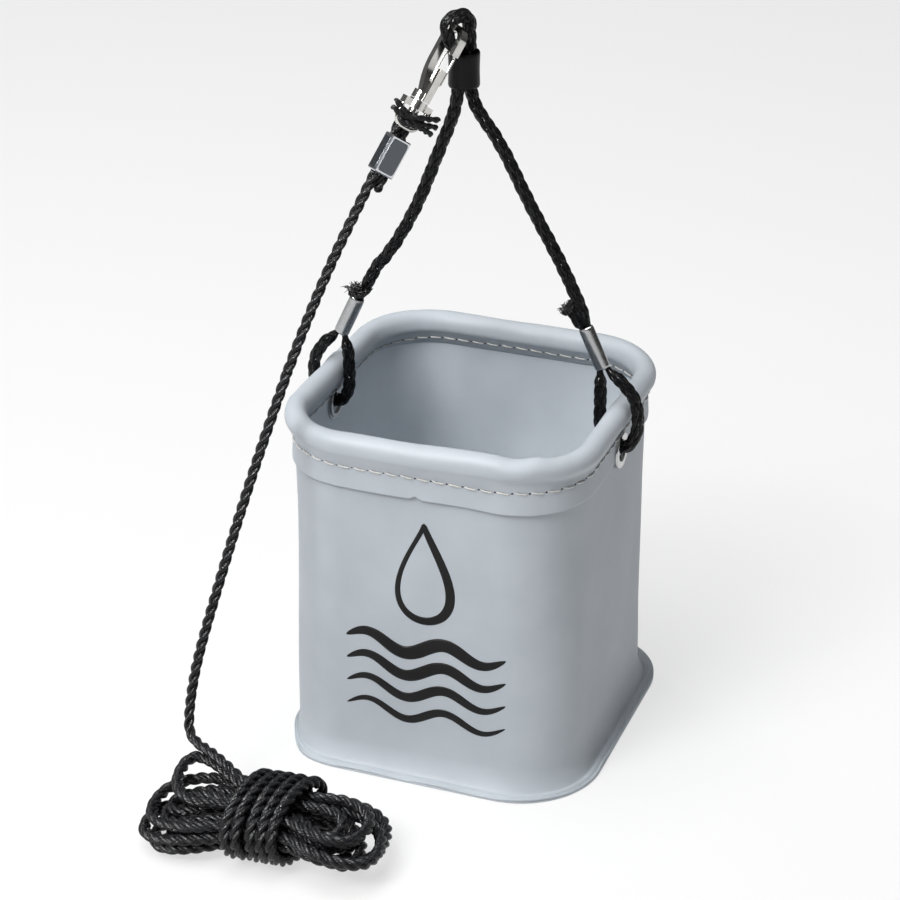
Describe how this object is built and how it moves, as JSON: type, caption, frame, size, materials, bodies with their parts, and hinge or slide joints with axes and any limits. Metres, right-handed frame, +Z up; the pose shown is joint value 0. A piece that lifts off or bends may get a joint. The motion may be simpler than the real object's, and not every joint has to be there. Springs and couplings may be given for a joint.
{
  "type": "water bucket",
  "caption": "Soft square folding water bucket with rolled rim, eyelets, braided cord handle, swivel snap hook and a hank of twisted drop rope tied up beside it",
  "frame": {"origin": "centre of the bucket's underside, on the floor", "axes": "+Z up, -Y the bare front that faces the viewer, +X to the right eyelet"},
  "size_m": [0.193, 0.2768, 0.3749],
  "materials": {
    "wall_sheet": "soft matte sheet, light cool grey",
    "collar_sheet": "soft matte sheet, light cool grey, sewn",
    "core_tube": "plain extruded tube",
    "eyelet_metal": "bright nickel",
    "handle_braid": "shiny black braid",
    "sleeve_rubber": "satin black shrunk tube",
    "ferrule_metal": "bright crimped",
    "hook_metal": "bright nickel",
    "rope_black": "black three-strand twist",
    "clamp_metal": "brushed, bright bevels"
  },
  "bodies": {
    "bucket": {"side_wall": "wall_sheet", "bottom_panel": "wall_sheet", "rim_collar": "collar_sheet", "rim_core": "core_tube", "rim_core_joiner": "core_tube", "left_eyelet": "eyelet_metal", "right_eyelet": "eyelet_metal", "left_eyelet_washer": "eyelet_metal", "right_eyelet_washer": "eyelet_metal", "rope_lower": "rope_black", "rope_hank": "rope_black", "rope_wrap": "rope_black"},
    "handle": {"handle_cord": "handle_braid", "handle_sleeve": "sleeve_rubber", "left_ferrule": "ferrule_metal", "right_ferrule": "ferrule_metal", "left_cord_loop": "handle_braid", "right_cord_loop": "handle_braid", "left_cord_tail": "handle_braid", "right_cord_tail": "handle_braid", "rope_upper": "rope_black"},
    "hook": {"hook_body": "hook_metal"},
    "gate": {"wire_gate": "hook_metal"},
    "swivel": {"swivel_eye": "hook_metal", "rope_end": "rope_black", "rope_clamp": "clamp_metal"}
  },
  "joints": [
    {"name": "handle_swing", "type": "hinge", "parent": "bucket", "child": "handle", "pos_m": [0, 0, 0.1613], "axis": [1, 0, 0], "range_deg": [-35, 35], "deforming": ["rope_lower"]},
    {"name": "hook_swing", "type": "hinge", "parent": "handle", "child": "hook", "pos_m": [-0.00698, -0.00264, 0.36568], "axis": [-0.8, 0.6, 0], "range_deg": [0, 60], "deforming": ["rope_upper"]},
    {"name": "gate_open", "type": "hinge", "parent": "hook", "child": "gate", "pos_m": [-0.01288, -0.01776, 0.34318], "axis": [-0.4927, -0.6569, 0.5707], "range_deg": [0, 22], "stiffness_Nm_per_rad": 0.02},
    {"name": "swivel_spin", "type": "hinge", "parent": "hook", "child": "swivel", "pos_m": [-0.00698, -0.00264, 0.36568], "axis": [0.3424, 0.4566, 0.8211], "continuous": true}
  ]
}
